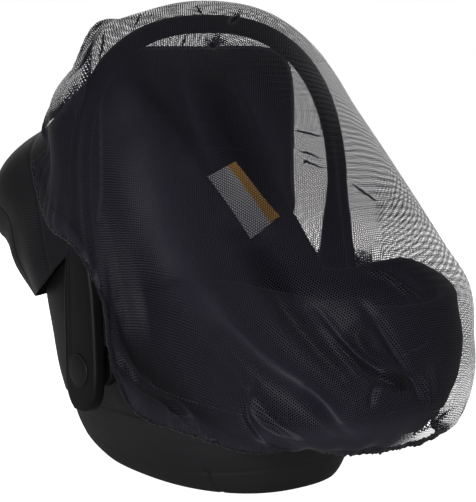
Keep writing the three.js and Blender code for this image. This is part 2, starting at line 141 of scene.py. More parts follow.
# soft lamps: name, place in metres, size in metres, watts
LAMPS = [
    ("key", (-1.9, -1.5, 0.6), 0.9, 34),
    ("fill", (1.9, -2.0, 1.2), 2.0, 3),
    ("top", (0.3, 0.6, 2.6), 1.8, 3),
    ("far", (2.4, 0.7, 0.7), 1.4, 16),
    ("back", (1.0, 2.4, 0.9), 1.4, 18),
]
# the surroundings' brightness as the camera sees them, and as the seat is lit by them
SEEN_WHITE, CAST_LIGHT = 1.0, 0.12


def mm(value):
    return value * 0.001


# numbers into curves and grids

def column_at(table, key, column, at):
    """A smooth reading of a table column with no overshoot (monotone cubic)."""
    x = np.asarray(table[key], float)
    y = np.asarray(table[column], float)
    h = np.diff(x)
    slope = np.diff(y) / h
    m = np.zeros_like(x)
    both = slope[:-1] * slope[1:] > 0
    w1, w2 = 2 * h[1:] + h[:-1], h[1:] + 2 * h[:-1]
    with np.errstate(divide="ignore", invalid="ignore"):
        m[1:-1] = np.where(both, (w1 + w2) / (w1 / slope[:-1] + w2 / slope[1:]), 0)
    m[0], m[-1] = slope[0], slope[-1]
    at = np.clip(np.asarray(at, float), x[0], x[-1])
    i = np.clip(np.searchsorted(x, at, side="right") - 1, 0, len(h) - 1)
    t = (at - x[i]) / h[i]
    return ((2 * t**3 - 3 * t**2 + 1) * y[i] + (t**3 - 2 * t**2 + t) * h[i] * m[i]
            + (3 * t**2 - 2 * t**3) * y[i + 1] + (t**3 - t**2) * h[i] * m[i + 1])


def smooth(t):
    t = np.clip(t, 0, 1)
    return t * t * (3 - 2 * t)


def power(v, p):
    return np.sign(v) * np.abs(v) ** p


def hump(x, centre, reach):
    """A soft bell, 1 at its centre."""
    return np.exp(-((x - centre) / reach) ** 2)


def hoop_line(rows, at, count):
    """One hoop of a sheet from the near hem over the crest to the far hem, evenly spaced."""
    rows = np.asarray(rows, float)
    last = len(rows) - 1
    i = int(min(last - 1, max(0, math.floor(at))))
    t = at - i
    p = rows[np.clip([i - 1, i, i + 1, i + 2], 0, last)]
    row = 0.5 * (2 * p[1] + (p[2] - p[0]) * t + (2 * p[0] - 5 * p[1] + 4 * p[2] - p[3]) * t * t
                 + (3 * p[1] - p[0] - 3 * p[2] + p[3]) * t**3)
    hem_x, hem_f, hem_z, belly, side_x, side_f, side_z, crest_f, crest_z, square, far_drop = row

    def from_hem(z):
        return [(hem_x, -hem_f, z), ((hem_x + side_x) / 2 + belly, -(hem_f + side_f) / 2, (z + side_z) / 2)]

    half = [(side_x, -side_f, side_z)]
    for degrees in (22, 45, 68, 90):
        a = math.radians(degrees)
        up = math.sin(a) ** (2 / square)
        across = 0 if degrees == 90 else math.cos(a) ** (2 / square)
        half.append((side_x * across, -(side_f + (crest_f - side_f) * up), side_z + (crest_z - side_z) * up))
    near = [(-x, y, z) for x, y, z in from_hem(hem_z) + half]
    far = half[-2::-1] + from_hem(hem_z - far_drop)[::-1]
    return spaced(centripetal(np.array(near + far), 24), count)


def centripetal(points, steps):
    """A centripetal Catmull-Rom curve through the points."""
    ends = np.vstack([2 * points[0] - points[1], points, 2 * points[-1] - points[-2]])
    out = []
    for i in range(1, len(ends) - 2):
        p0, p1, p2, p3 = ends[i - 1:i + 3]
        d = [max(1e-6, np.linalg.norm(b - a) ** 0.5) for a, b in ((p0, p1), (p1, p2), (p2, p3))]
        m1 = ((p1 - p0) / d[0] - (p2 - p0) / (d[0] + d[1]) + (p2 - p1) / d[1]) * d[1]
        m2 = ((p2 - p1) / d[1] - (p3 - p1) / (d[1] + d[2]) + (p3 - p2) / d[2]) * d[1]
        t = np.linspace(0, 1, steps, endpoint=False)[:, None]
        out.append((2 * t**3 - 3 * t**2 + 1) * p1 + (t**3 - 2 * t**2 + t) * m1
                   + (3 * t**2 - 2 * t**3) * p2 + (t**3 - t**2) * m2)
    return np.vstack(out + [points[-1:]])


def run_length(points, axis=0):
    """How far each point lies along its line, from 0 at the first one."""
    steps = np.linalg.norm(np.diff(points, axis=axis), axis=-1)
    first = np.zeros_like(np.take(steps, [0], axis=axis))
    return np.cumsum(np.concatenate([first, steps], axis=axis), axis=axis)


def spaced(line, count):
    """The same line with evenly spaced points."""
    run = run_length(line)
    at = np.linspace(0, run[-1], count)
    return np.stack([np.interp(at, run, line[:, k]) for k in range(3)], axis=1)


def fan(rows, along, across):
    """A grid of points over a fan of hoops, with hoop and side numbers for each point."""
    hoops = np.linspace(0, len(rows) - 1, along)
    grid = np.stack([hoop_line(rows, h, across) for h in hoops])
    side = np.linspace(-1, 1, across)
    return grid, np.repeat(hoops[:, None], across, axis=1), np.repeat(side[None], along, axis=0)


def outward(grid):
    """The unit normal of each grid point, pointing out of the hoops."""
    a = np.gradient(grid, axis=0)
    b = np.gradient(grid, axis=1)
    n = np.cross(a, b)
    return n / np.maximum(np.linalg.norm(n, axis=2, keepdims=True), 1e-9)


# meshes

def placed(name, data):
    """A new object with this data, linked into the scene."""
    piece = bpy.data.objects.new(name, data)
    bpy.context.scene.collection.objects.link(piece)
    return piece


def new_piece(name, points, faces, material):
    """A mesh object in metres, placed by its mesh alone."""
    mesh = bpy.data.meshes.new(name)
    mesh.from_pydata([tuple(mm(v) for v in p) for p in points], [], faces)
    mesh.materials.append(material)
    mesh.update()
    mesh.shade_smooth()
    return placed(name, mesh)


def grid_faces(rows, columns, start=0, around=False, flip=False):
    faces = []
    for i in range(rows - 1):
        for j in range(columns if around else columns - 1):
            a, b = start + i * columns + j, start + i * columns + (j + 1) % columns
            face = (a, a + columns, b + columns, b)
            faces.append(face[::-1] if flip else face)
    return faces


def fix_normals(piece):
    """Turns the faces of a closed mesh outwards."""
    bm = bmesh.new()
    bm.from_mesh(piece.data)
    bmesh.ops.remove_doubles(bm, verts=bm.verts, dist=1e-6)
    bmesh.ops.recalc_face_normals(bm, faces=bm.faces)
    bm.to_mesh(piece.data)
    bm.free()
    return piece


def ring_body(name, rings, material):
    """A closed body through rings of equal length, with its two ends closed by fans."""
    rings = np.asarray(rings, float)
    count, steps = rings.shape[:2]
    points = rings.reshape(-1, 3).tolist()
    faces = grid_faces(count, steps, around=True)
    for ring, flip in ((0, False), (count - 1, True)):
        hub = len(points)
        points.append(rings[ring].mean(axis=0).tolist())
        for k in range(steps):
            a, b = ring * steps + k, ring * steps + (k + 1) % steps
            faces.append((hub, a, b) if flip else (hub, b, a))
    return fix_normals(new_piece(name, points, faces, material))


def thick_sheet(name, grid, thickness, material, flat=None):
    """A closed sheet of even thickness round a grid of points, with flat as its cloth laid out."""
    half = outward(grid) * thickness / 2
    rows, columns = grid.shape[:2]
    points = np.vstack([(grid + half).reshape(-1, 3), (grid - half).reshape(-1, 3)])
    far = rows * columns
    faces = grid_faces(rows, columns) + grid_faces(rows, columns, start=far, flip=True)
    edge = border(rows, columns)
    for a, b in zip(edge, edge[1:] + edge[:1]):
        faces.append((a, b, far + b, far + a))
    piece = new_piece(name, points, faces, material)
    grid_uv(piece, grid, 2, flat)
    return fix_normals(piece)


def border(rows, columns):
    """The indices round a grid, in order."""
    return ([j for j in range(columns - 1)] + [i * columns + columns - 1 for i in range(rows - 1)]
            + [(rows - 1) * columns + j for j in range(columns - 1, 0, -1)]
            + [i * columns for i in range(rows - 1, 0, -1)])


def straight_rows(grid):
    """The grid laid flat in mm, each hoop a straight row of its real length."""
    columns = grid.shape[1]
    across = run_length(grid, 1)
    across -= across[:, -1:] / 2
    along = run_length(grid[:, columns // 2])
    return np.stack([across, np.repeat(along[:, None], columns, axis=1)], axis=2)


def grid_uv(piece, grid, copies, flat=None):
    """Gives each copy of a grid its place in the flat cloth. Without flat, that is measured along
    each hoop and along the crest."""
    if flat is None:
        flat = straight_rows(grid)
    uv = np.tile(mm(flat.reshape(-1, 2)), (copies, 1))
    layer = piece.data.uv_layers.new(name="cloth")
    loops = np.zeros(len(piece.data.loops), dtype=np.int32)
    piece.data.loops.foreach_get("vertex_index", loops)
    layer.data.foreach_set("uv", uv[loops].astype(np.float32).ravel())


def mark_points(piece, **marks):
    """Stores one number for each point of a piece, under each name."""
    for name, values in marks.items():
        mark = piece.data.attributes.new(name, "FLOAT", "POINT")
        mark.data.foreach_set("value", np.asarray(values, np.float32).ravel())


def tube(name, line, radius, material, around=10, closed=False):
    """A round piping along a line. radius may change along it."""
    line = np.asarray(line, float)
    radius = np.broadcast_to(radius, (len(line),))
    tangent = np.gradient(line, axis=0)
    if closed:
        tangent = np.roll(line, -1, axis=0) - np.roll(line, 1, axis=0)
    tangent /= np.maximum(np.linalg.norm(tangent, axis=1, keepdims=True), 1e-9)
    side = np.cross(tangent[0], (0, 0, 1.0))
    if np.linalg.norm(side) < 0.1:
        side = np.cross(tangent[0], (1.0, 0, 0))
    rings = []
    for k in range(len(line)):
        side = side - tangent[k] * (side @ tangent[k])
        side /= np.linalg.norm(side)
        up = np.cross(tangent[k], side)
        a = 2 * np.pi * np.arange(around) / around
        rings.append(line[k] + radius[k] * (np.cos(a)[:, None] * side + np.sin(a)[:, None] * up))
    if not closed:
        return ring_body(name, rings, material)
    rings = np.array(rings)
    count = len(rings)
    shift = int(np.argmin([np.linalg.norm(np.roll(rings[0], -s, axis=0) - rings[-1]) for s in range(around)]))
    faces = grid_faces(count, around, around=True)
    last = (count - 1) * around
    for k in range(around):
        a, b = last + k, last + (k + 1) % around
        faces.append((a, (k + shift) % around, (k + 1 + shift) % around, b))
    return fix_normals(new_piece(name, rings.reshape(-1, 3), faces, material))


# materials

def linear(hex_colour):
    """An sRGB hex colour as Blender's linear colour."""
    parts = [int(hex_colour[i:i + 2], 16) / 255 for i in (1, 3, 5)]
    return tuple(c / 12.92 if c <= 0.04045 else ((c + 0.055) / 1.055) ** 2.4 for c in parts) + (1.0,)


def add_node(tree, kind, inputs=None, **settings):
    """Adds one node with its settings, and links or fills its inputs."""
    node = tree.nodes.new(kind)
    for key, value in settings.items():
        setattr(node, key, value)
    for key, value in (inputs or {}).items():
        if isinstance(value, bpy.types.NodeSocket):
            tree.links.new(value, node.inputs[key])
        else:
            node.inputs[key].default_value = value
    return node


def fresh_material(name):
    material = bpy.data.materials.new(name)
    material.use_nodes = True
    material.node_tree.nodes.clear()
    return material, material.node_tree


def dress(tree, colour, height, strength, depth, shine):
    """Ends a material: its colour, a fine relief that is depth metres high, and its shine."""
    bump = add_node(tree, "ShaderNodeBump", {"Height": height, "Strength": strength, "Distance": depth})
    surface = add_node(tree, "ShaderNodeBsdfPrincipled", {
        "Base Color": colour, "Normal": bump.outputs["Normal"], **shine})
    add_node(tree, "ShaderNodeOutputMaterial", {"Surface": surface.outputs["BSDF"]})


def moulded_plastic(name, dark, light, roughness, grain_mm):
    """Injection-moulded polypropylene: a fine eroded grain that breaks up a soft, dull shine."""
    material, tree = fresh_material(name)
    place = add_node(tree, "ShaderNodeTexCoord").outputs["Object"]
    cloud = add_node(tree, "ShaderNodeTexNoise", {"Vector": place, "Scale": 9.0, "Detail": 3.0})
    colour = add_node(tree, "ShaderNodeMix", {0: cloud.outputs["Fac"], 6: linear(dark), 7: linear(light)},
                      data_type="RGBA")
    grain = add_node(tree, "ShaderNodeTexNoise", {"Vector": place, "Scale": 1000 / grain_mm, "Detail": 2.0})
    rough = add_node(tree, "ShaderNodeMapRange", {"Value": cloud.outputs["Fac"], "To Min": roughness - 0.06,
                                                  "To Max": roughness + 0.08})
    dress(tree, colour.outputs[2], grain.outputs["Fac"], 0.25, 0.0004,
          {"Roughness": rough.outputs["Result"], "IOR": 1.49, "Specular IOR Level": 0.22})
    return material


def woven_cloth(name, dark, light, thread_mm, sheen, coordinates):
    """Plain-woven polyester: matt threads over and under, with a soft bloom at grazing light."""
    material, tree = fresh_material(name)
    place = add_node(tree, "ShaderNodeTexCoord").outputs[coordinates]
    cloud = add_node(tree, "ShaderNodeTexNoise", {"Vector": place, "Scale": 14.0, "Detail": 4.0})
    threads = []
    for axis in ("X", "Y"):
        threads.append(add_node(tree, "ShaderNodeTexWave", {
            "Vector": place, "Scale": 1000 / thread_mm / 20 * math.pi, "Distortion": 0.4, "Detail": 1.0},
            wave_type="BANDS", bands_direction=axis, wave_profile="SIN"))
    weave = add_node(tree, "ShaderNodeMath", {0: threads[0].outputs["Fac"], 1: threads[1].outputs["Fac"]},
                     operation="MULTIPLY")
    tint = add_node(tree, "ShaderNodeMath", {0: weave.outputs[0], 1: cloud.outputs["Fac"]}, operation="ADD")
    colour = add_node(tree, "ShaderNodeMix", {0: tint.outputs[0], 6: linear(dark), 7: linear(light)},
                      data_type="RGBA", clamp_factor=True)
    dress(tree, colour.outputs[2], weave.outputs[0], 0.5, 0.0005,
          {"Roughness": 0.88, "Sheen Weight": sheen, "Sheen Roughness": 0.4, "Specular IOR Level": 0.25})
    return material


# the far side's waves, in mm
WAVE_LENGTH = 10.5


def hexagonal_net(name, thread, pitch_mm, cover):
    """Warp-knitted polyester netting with hexagonal holes. The real holes are about 1 mm wide;
    they are drawn at 3 mm, as coarse as they need to be to show. cover is the thread's share of
    the pitch."""
    material, tree = fresh_material(name)
    flat = add_node(tree, "ShaderNodeUVMap", uv_map="cloth").outputs["UV"]
    size = (1.0, math.sqrt(3), 1.0)
    half = tuple(v / 2 for v in size)
    cells = add_node(tree, "ShaderNodeVectorMath", {0: flat, 3: 1000 / pitch_mm}, operation="SCALE")
    nearest = []
    for start in ((0, 0, 0), half):
        moved = add_node(tree, "ShaderNodeVectorMath", {0: cells.outputs[0], 1: start}, operation="SUBTRACT")
        wrapped = add_node(tree, "ShaderNodeVectorMath", {0: moved.outputs[0], 1: half,
                                                          2: tuple(-v for v in half)}, operation="WRAP")
        flat_only = add_node(tree, "ShaderNodeVectorMath", {0: wrapped.outputs[0], 1: (1, 1, 0)},
                             operation="MULTIPLY")
        nearest.append(flat_only.outputs[0])
    lengths = [add_node(tree, "ShaderNodeVectorMath", {0: v}, operation="LENGTH").outputs["Value"]
               for v in nearest]
    first = add_node(tree, "ShaderNodeMath", {0: lengths[0], 1: lengths[1]}, operation="LESS_THAN")
    cell = add_node(tree, "ShaderNodeMix", {0: first.outputs[0], 4: nearest[1], 5: nearest[0]},
                    data_type="VECTOR")
    side = add_node(tree, "ShaderNodeVectorMath", {0: cell.outputs[1]}, operation="ABSOLUTE")
    slant = add_node(tree, "ShaderNodeVectorMath", {0: side.outputs[0], 1: (0.5, math.sqrt(3) / 2, 0)},
                     operation="DOT_PRODUCT")
    straight = add_node(tree, "ShaderNodeSeparateXYZ", {0: side.outputs[0]})
    edge = add_node(tree, "ShaderNodeMath", {0: slant.outputs["Value"], 1: straight.outputs["X"]},
                    operation="MAXIMUM")
    # where the cloth is bunched its threads close up; along the creases the same closing is painted light and
    # shade: more thread on the lit ridges, less in the shaded hollows
    closing = add_node(tree, "ShaderNodeAttribute", attribute_name="closing")
    # the slack far side lies in faint waves, which close and open the threads in turn
    ripples = add_node(tree, "ShaderNodeAttribute", attribute_name="ripples")
    wave = add_node(tree, "ShaderNodeTexWave", {"Vector": flat, "Scale": 2 * math.pi / (20 * mm(WAVE_LENGTH)),
                                                "Distortion": 5.0, "Detail": 2.0, "Detail Scale": 0.6},
                    bands_direction="Y")
    swing = add_node(tree, "ShaderNodeMath", {0: wave.outputs["Fac"], 1: 0.34, 2: -0.15},
                     operation="MULTIPLY_ADD")
    bunch = add_node(tree, "ShaderNodeMath", {0: ripples.outputs["Fac"], 1: swing.outputs[0],
                                              2: closing.outputs["Fac"]}, operation="MULTIPLY_ADD")
    hole = add_node(tree, "ShaderNodeMath", {0: bunch.outputs[0], 1: -0.5, 2: 0.5 * (1 - cover)},
                    operation="MULTIPLY_ADD")
    thread_mask = add_node(tree, "ShaderNodeMath", {0: edge.outputs[0], 1: hole.outputs[0]},
                           operation="GREATER_THAN")
    cloth = add_node(tree, "ShaderNodeBsdfPrincipled", {
        "Base Color": linear(thread), "Roughness": 0.6, "Sheen Weight": 0.06, "Sheen Roughness": 0.35,
        "Specular IOR Level": 0.3})
    clear = add_node(tree, "ShaderNodeBsdfTransparent")
    mixed = add_node(tree, "ShaderNodeMixShader", {0: thread_mask.outputs[0], 1: clear.outputs[0],
                                                   2: cloth.outputs[0]})
    add_node(tree, "ShaderNodeOutputMaterial", {"Surface": mixed.outputs[0]})
    return material


ROCKER_PLASTIC = moulded_plastic("grained_polypropylene", "#1f1f21", "#29292b", 0.55, 1.2)
SHELL_PLASTIC = moulded_plastic("satin_polypropylene", "#0f0f11", "#161618", 0.5, 0.9)
HANDLE_PLASTIC = moulded_plastic("handle_polypropylene", "#08080a", "#0f0f11", 0.5, 0.9)
CAP_PLASTIC = moulded_plastic("cap_polypropylene", "#101012", "#18181a", 0.4, 0.9)
SEAT_CLOTH = woven_cloth("quilted_polyester", "#060508", "#0d0b11", 2.2, 0.02, "Object")
HOOD_CLOTH = woven_cloth("hood_polyester", "#0b0a0d", "#151418", 1.8, 0.1, "UV")
PIPING_CLOTH = woven_cloth("piping_polyester", "#3a3a44", "#50505c", 1.6, 0.3, "Object")
STITCH_THREAD = woven_cloth("bonded_sewing_thread", "#24242b", "#34343d", 0.8, 0.2, "Object")
PALE_THREAD = woven_cloth("pale_sewing_thread", "#b9bac2", "#d6d7dd", 0.8, 0.2, "Object")
HEM_CLOTH = woven_cloth("elastic_casing", "#0c0c10", "#191920", 1.6, 0.15, "Object")
NET_MESH = hexagonal_net("warp_knit_net", "#201f2a", 3.0, 0.33)


# the bucket: wall, shell, liner

def plan_point(angle, half, foot, head, centre, square_foot, square_head):
    c, s = np.cos(angle), np.sin(angle)
    square = np.where(s > 0, square_foot, square_head)
    reach = np.where(s > 0, foot - centre, head + centre)
    return half * power(c, 2 / square), centre + reach * power(s, 2 / square)


def wall_span(f):
    """The heights of the wall's lower edge and of its rim."""
    return column_at(EDGE_HEIGHTS, "f", "z", f), column_at(RIM_HEIGHTS, "f", "z", f)


def wall_ring(t, out, lift, angle):
    """The bucket's wall at height share t (a number or one for each angle), moved out."""
    t = np.broadcast_to(t, angle.shape)
    half = column_at(SHELL_LEVELS, "t", "half", t) + out
    foot = column_at(SHELL_LEVELS, "t", "foot", t) + out
    head = column_at(SHELL_LEVELS, "t", "head", t) + out
    square_foot = column_at(SHELL_LEVELS, "t", "square_foot", t)
    x, f = plan_point(angle, half, foot, head, SHELL_CENTRE, square_foot, SQUARE_HEAD)
    lean = 1 + (WING_WAIST - 1) * smooth((-10 - f) / 90) * t * t
    low, high = wall_span(f)
    return np.stack([x * lean, -f, low + (high - low) * t + lift], axis=1)


def floor_ring(share, out, lift, angle):
    ring = wall_ring(0, out, lift, angle)
    centre = np.array([0, -SHELL_CENTRE, 0])
    moved = centre + (ring - centre) * share
    moved[:, 2] = BASE_HEIGHT + 0.3 + lift + (ring[:, 2] - BASE_HEIGHT - 0.3 - lift) * share * share
    return moved


def skirt_share(angle):
    """How high up the wall the cloth skirt ends."""
    _, f = plan_point(angle, 170, 340, 330, SHELL_CENTRE, SQUARE_FOOT, SQUARE_HEAD)
    low, high = wall_span(f)
    return (column_at(SKIRT_HEIGHTS, "f", "z", f) - low) / (high - low)


def even_angles(steps):
    """Angles that space the points of a squared oval about evenly."""
    fine = np.linspace(0, 2 * np.pi, 4001)
    x, f = plan_point(fine, 170, 340, 330, SHELL_CENTRE, SQUARE_FOOT, SQUARE_HEAD)
    run = run_length(np.stack([x, f], axis=1))
    return np.interp(np.linspace(0, run[-1], steps, endpoint=False), run, fine)


def bucket_shell():
    angle = even_angles(220)
    rings = [floor_ring(share, 0, 0, angle) for share in (0.3, 0.7, 0.95)]
    for t in np.concatenate([np.linspace(0, 0.2, 8), np.linspace(0.24, 1, 24)]):
        rings.append(wall_ring(t, 0, 0, angle))
    rings.append(wall_ring(1, -SHELL_WALL / 2, 1.0, angle))
    for t in np.linspace(1, 0, 24):
        rings.append(wall_ring(t, -SHELL_WALL, SHELL_WALL * (1 - t), angle))
    rings.append(floor_ring(0.5, -SHELL_WALL, SHELL_WALL, angle))
    return ring_body("bucket_shell", rings, SHELL_PLASTIC)


def padded_liner():
    """The quilted cover: under it the shell's own shape, over it a pad, a rolled rim and a loose skirt."""
    angle = even_angles(360)
    outer = COVER_SKIRT + 0.6
    padded = -SHELL_WALL - COVER_PAD
    end = skirt_share(angle)
    close = -SHELL_WALL - 0.6
    # cloth is never quite even: a slow ripple, stronger towards the loose lower edge
    ripple = (np.sin(angle * 23 + 0.6) + 0.7 * np.sin(angle * 37 + 2.1) + 0.5 * np.sin(angle * 11)) / 2.2
    rings = [floor_ring(share, close, SHELL_WALL + 0.6, angle) for share in (0.25, 0.6, 0.9)]
    rings += [wall_ring(t, close, max(0, 0.05 - t) * 120, angle) for t in np.linspace(0, 1, 16)]
    rings += [wall_ring(1, -SHELL_WALL / 2, 1.4, angle), wall_ring(1, 0.7, 0, angle)]
    rings += [wall_ring(1 - (1 - end) * share, 0.6, 0, angle) for share in np.linspace(0.04, 0.97, 14)]
    rings += [wall_ring(end, 1.0, 0, angle)]
    for share in np.linspace(0, 1, 26):
        puff = 1.2 * hump(share, 0.02, 0.1) + 0.8 * ripple * (1 - share) ** 2
        rings.append(wall_ring(end + (1 - end) * share, outer - 1.0 + puff, 0, angle))
    for turn in np.linspace(0, 1, 12)[1:]:
        a = math.pi * turn
        middle, reach = (outer + padded) / 2, (outer - padded) / 2
        rings.append(wall_ring(1, middle + reach * math.cos(a), ROLL_HEIGHT * math.sin(a) ** 0.8, angle))
    for t in np.linspace(0.97, 0.06, 34):
        channel = 2.2 * sum(hump(t, c, 0.018) for c in LINER_CHANNELS)
        rings.append(wall_ring(t, padded - 1.5 + channel, 1.5 * (1 - t), angle))
    for share, lift in ((0.93, 8), (0.85, 4), (0.7, 1.5), (0.5, 0.5), (0.25, 0)):
        rings.append(floor_ring(share, padded, SHELL_WALL + COVER_PAD + lift, angle))
    return ring_body("padded_liner", rings, SEAT_CLOTH)


# the rocker base

def rocker_base():
    steps = 640
    angle = np.linspace(0, 2 * np.pi, steps, endpoint=False)
    heights = np.concatenate([[0, 0.6, 1.6, 3], np.linspace(5, 82, 40), [84.5, 85.7, 86]])
    rings = []
    for z in heights:
        at = {k: column_at(BASE_LEVELS, "z", k, z) for k in ("half", "foot", "head", "square")}
        x, f = plan_point(angle, at["half"], at["foot"], at["head"], SHELL_CENTRE, at["square"], at["square"])
        # rounded lower and upper edges
        inset = 2.2 * (1 - min(1, z / 3)) ** 2 + 1.2 * max(0, (z - 83) / 3) ** 2
        # a raised belt under the top, and a faint arched crease on each flank
        belt = 0.9 * smooth((z - 66) / 3)
        arch = 26 + 16 * ((f - 20) / 170) ** 2
        crease = -1.4 * hump(z, arch, 1.8) * (f > -150)
        # upright part lines in the flank near the foot and near the head end
        lines = -3.2 * (hump(f, 96, 2.2) * (z < 34) + hump(f, -176, 2.4) * (20 < z < 42))
        out = belt + crease + lines - inset
        n = np.stack([x, (f - SHELL_CENTRE) * 0.8], axis=1)
        n /= np.linalg.norm(n, axis=1, keepdims=True)
        rings.append(np.stack([x + n[:, 0] * out, -(f + n[:, 1] * out), np.full(steps, z)], axis=1))
    return ring_body("rocker_base", rings, ROCKER_PLASTIC)


# the carrying handle

def handle_line(steps):
    """Points of the arch, across and up, closer together at its two ends."""
    middle = HANDLE_OUTER - HANDLE_THICK / 2
    rise = HANDLE_TOP - HANDLE_THICK / 2 - HANDLE_SPRING
    a = np.linspace(np.pi, 0, 1200)
    arch = np.stack([middle * power(np.cos(a), 2 / HANDLE_SQUARE),
                     HANDLE_SPRING + rise * np.abs(np.sin(a)) ** (2 / HANDLE_SQUARE)], axis=1)
    foot = HANDLE_WIDTHS["z"][0]
    flat = np.vstack([[(-middle, z) for z in np.linspace(foot, HANDLE_SPRING - 1, 200)], arch,
                      [(middle, z) for z in np.linspace(HANDLE_SPRING - 1, foot, 200)]])
    run = run_length(flat)
    ends = np.array([0, 1.2, 3, 6, 10, 15])
    at = np.concatenate([ends, np.linspace(20, run[-1] - 20, steps), run[-1] - ends[::-1]])
    return np.stack([np.interp(at, run, flat[:, k]) for k in range(2)], axis=1)


def carrying_handle():
    line = handle_line(190)
    run = np.gradient(line, axis=0)
    run /= np.linalg.norm(run, axis=1, keepdims=True)
    z = line[:, 1]
    f = column_at(HANDLE_WIDTHS, "z", "f", z)
    width = column_at(HANDLE_WIDTHS, "z", "width", z)
    plate = smooth((HANDLE_SPRING - z) / 90)
    thick = HANDLE_THICK + (PLATE_THICK - HANDLE_THICK) * plate
    centre = np.stack([line[:, 0], -f, z], axis=1)
    out = np.stack([-run[:, 1], np.zeros(len(z)), run[:, 0]], axis=1)
    rings = []
    around = 64
    a = 2 * np.pi * (np.arange(around) + 0.5) / around
    for k in range(len(z)):
        square = 2.4 + 2.6 * plate[k]
        u = thick[k] / 2 * power(np.cos(a), 2 / square)
        v = width[k] / 2 * power(np.sin(a), 2 / square)
        # two grooves down the outer face of each arm plate
        groove = sum(hump(v, c * width[k] / 2, 1.5) for c in (-0.72, -0.5))
        u = u - 1.3 * groove * (u > 0) * smooth((z[k] - 128) / 12) * smooth((306 - z[k]) / 20) * plate[k]
        rings.append(centre[k] + u[:, None] * out[k] + v[:, None] * np.array([0, -1.0, 0]))
    return ring_body("carrying_handle", rings, HANDLE_PLASTIC)


def turned_cap(name, x_from, profile, sign, material):
    """A round part turned about the pivot axis. profile is (out from x_from, radius)."""
    a = np.linspace(0, 2 * np.pi, 64, endpoint=False)
    rings = []
    for out, radius in profile:
        rings.append(np.stack([np.full(64, sign * (x_from + out)), -(PIVOT_F + radius * np.cos(a)),
                               PIVOT_Z + radius * np.sin(a)], axis=1))
    return ring_body(name, rings, material)


def pivot_cap(name, sign):
    face = HANDLE_OUTER - HANDLE_THICK / 2 + PLATE_THICK / 2
    return turned_cap(name, face - 0.6, [(0, 21), (1.2, 21), (1.9, 20.2), (2.1, 19), (1.7, 18.2), (2.2, 17),
                                         (2.8, 12), (3.1, 6)], sign, CAP_PLASTIC)


def pivot_boss(name, sign):
    start, end = BOSS_START, HANDLE_OUTER - HANDLE_THICK / 2 - PLATE_THICK / 2
    reach = end - start
    profile = [(0, 23.4), (0.6, 24), (reach * 0.4, 24), (reach * 0.46, 22.6), (reach * 0.54, 22.6),
               (reach * 0.6, 24), (reach - 0.6, 24), (reach, 23.4)]
    return turned_cap(name, start, profile, sign, SHELL_PLASTIC)


# the hood

def hood_grid():
    grid, hoop, side = fan(HOOD_HOOPS, *HOOD_GRID)
    n = outward(grid)
    # the cloth sinks a little between its bows, and stands up in a thin seam on each
    between = np.min([np.abs(hoop - b) for b in HOOD_BOWS], axis=0)
    sag = -3.2 * smooth(between / 1.1) * (1 - np.abs(side) ** 6) * (hoop < 6)
    seam = 1.0 * sum(hump(hoop, b, 0.05) for b in HOOD_BOWS[1:])
    # soft creases that run down to the pivots
    crease = (1.6 * np.sin(9 * side + 2.2 * hoop) * smooth((np.abs(side) - 0.45) / 0.4)
              + 1.1 * np.sin(17 * side - 1.3 * hoop) * hump(np.abs(side), 0.8, 0.2))
    return grid + n * (sag + seam + crease * smooth(hoop / 0.7) * smooth((8 - hoop) / 1.5))[..., None]


def hood():
    return thick_sheet("sun_hood", hood_grid(), HOOD_THICK, HOOD_CLOTH)


def hood_piping():
    return tube("hood_piping", spaced(hood_grid()[0, 2:-2], 260), 2.0, PIPING_CLOTH, around=12)


# the net

def net_grid():
    """The net's surface with its swells and creases, how far its threads close up (along the creases this
    closing is painted light and shade), and where it lies in waves."""
    grid, hoop, side = fan(NET_HOOPS, *NET_GRID)
    out, closing = net_gathers(grid)
    # the far corner hangs free and open
    closing -= 0.1 * smooth((side + 0.02) / 0.1) * smooth((3.2 - hoop) / 0.8)
    for at_hoop, at_side, hoops, sides, height in NET_SWELLS:
        out += height * hump(hoop, at_hoop, hoops) * hump(side, at_side, sides)
    for reach, height, closes_and_painted_shade, points in NET_CREASES:
        gap, share = along_line(hoop, side, points)
        fold = np.sin(np.pi * np.clip(share, 0.04, 0.96)) ** 0.5 * np.exp(-(gap / reach) ** 2)
        out += height * fold
        # the crease's closing paints light on its ridge and shade in its hollow
        closing += closes_and_painted_shade * fold
    ripples = smooth((side + 0.16) / 0.34) * smooth((hoop - 4.2) / 1.2) * smooth((9.9 - hoop) / 1.4)
    return grid + outward(grid) * out[..., None], np.clip(closing, -0.3, 0.68), ripples


def net_gathers(grid):
    """Small pleats that the elastic pulls in, dying out away from the hem."""
    across, down = run_length(grid, 1), run_length(grid)
    length = across[:, -1:]
    # for each edge: distance from it, run along it, reach and height of its pleats
    edges = [(np.minimum(across, length - across), down, 30, 2.4), (down, across - length / 2, 36, 3.2),
             (down[-1:] - down, across - length / 2, 30, 2.1)]
    # the cloth is bunched thickest under the foot end, and open again at the far corner
    bunched = smooth((length * 0.52 - across) / 50)
    out, closing = np.zeros_like(down), 0.8 * np.exp(-(down / 66) ** 6) * bunched
    for from_hem, run, reach, height in edges:
        pleat = (np.sin(run / 5.2 + 0.8 * np.sin(run / 31)) + 0.6 * np.sin(run / 8.7 + 1.7)) / 1.6
        out += height * pleat * np.exp(-(from_hem / reach) ** 1.3) * smooth(from_hem / 6)
        closing = np.maximum(closing, 0.45 * np.exp(-(from_hem / 16) ** 1.5))
    return out, closing


def along_line(hoop, side, points):
    """How far each place lies from a line of (hoop, side) points, in mm, and how far along it."""
    spot = np.stack([hoop * HOOP_RUN, side * SIDE_RUN], axis=-1)
    line = np.array(points) * (HOOP_RUN, SIDE_RUN)
    best, share = np.full(hoop.shape, 1e9), np.zeros(hoop.shape)
    for k, (start, end) in enumerate(zip(line, line[1:])):
        step = end - start
        t = np.clip((spot - start) @ step / (step @ step), 0, 1)
        gap = np.linalg.norm(spot - start - t[..., None] * step, axis=-1)
        share = np.where(gap < best, (k + t) / (len(line) - 1), share)
        best = np.minimum(best, gap)
    return best, share
